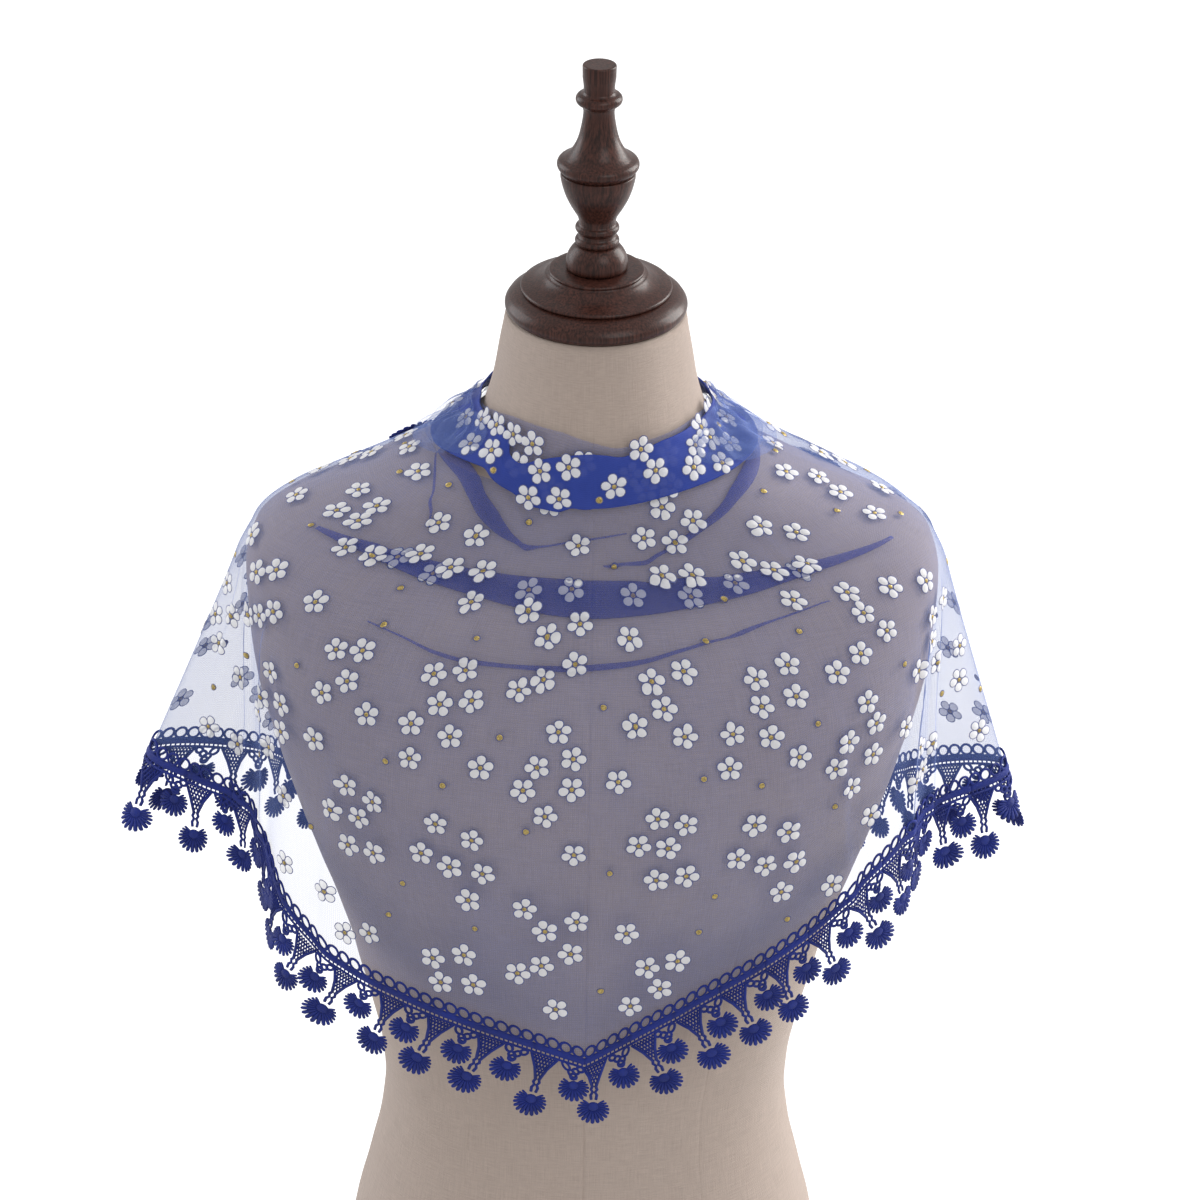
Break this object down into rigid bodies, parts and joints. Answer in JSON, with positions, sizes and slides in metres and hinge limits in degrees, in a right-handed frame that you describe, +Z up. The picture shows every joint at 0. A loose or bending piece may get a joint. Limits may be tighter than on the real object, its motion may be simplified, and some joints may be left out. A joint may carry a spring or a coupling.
{
  "type": "lace shawl on dress form",
  "caption": "Sheer flowered triangle shawl with tasselled lace edging, draped over a limbless dress form with a turned wooden neck cap and finial.",
  "frame": {"origin": "centre of the flat base of the dress form", "axes": "+Z up along the finial, -Y towards the front where the shawl's point hangs, +X towards the right of a front view"},
  "size_m": [0.5194, 0.24, 0.8297],
  "materials": {
    "linen": "plain-woven beige linen cover, matt",
    "walnut": "dark walnut stain under satin varnish",
    "net": "sheer royal-blue net with white flock flowers and gold dots",
    "doubled_net": "royal-blue net in several layers",
    "lace": "royal-blue corded lace with tassel fans, slight thread sheen"
  },
  "bodies": {
    "root": {"dress_form": "linen", "cap_plate": "walnut", "cap_step": "walnut", "finial_vase": "walnut", "finial_bell": "walnut", "net_front_left": "net", "net_front_right": "net", "net_wing_left": "net", "net_wing_right": "net", "neck_stand": "net", "neck_band": "doubled_net", "fold_broad": "doubled_net", "fold_thin": "doubled_net", "fold_neck_left": "doubled_net", "fold_neck_right": "doubled_net", "lace_band_front_left": "lace", "lace_band_front_right": "lace", "lace_band_back_left": "lace", "lace_band_back_right": "lace", "lace_fringe_front_left": "lace", "lace_fringe_front_right": "lace", "lace_fringe_back_left": "lace", "lace_fringe_back_right": "lace"}
  },
  "joints": []
}
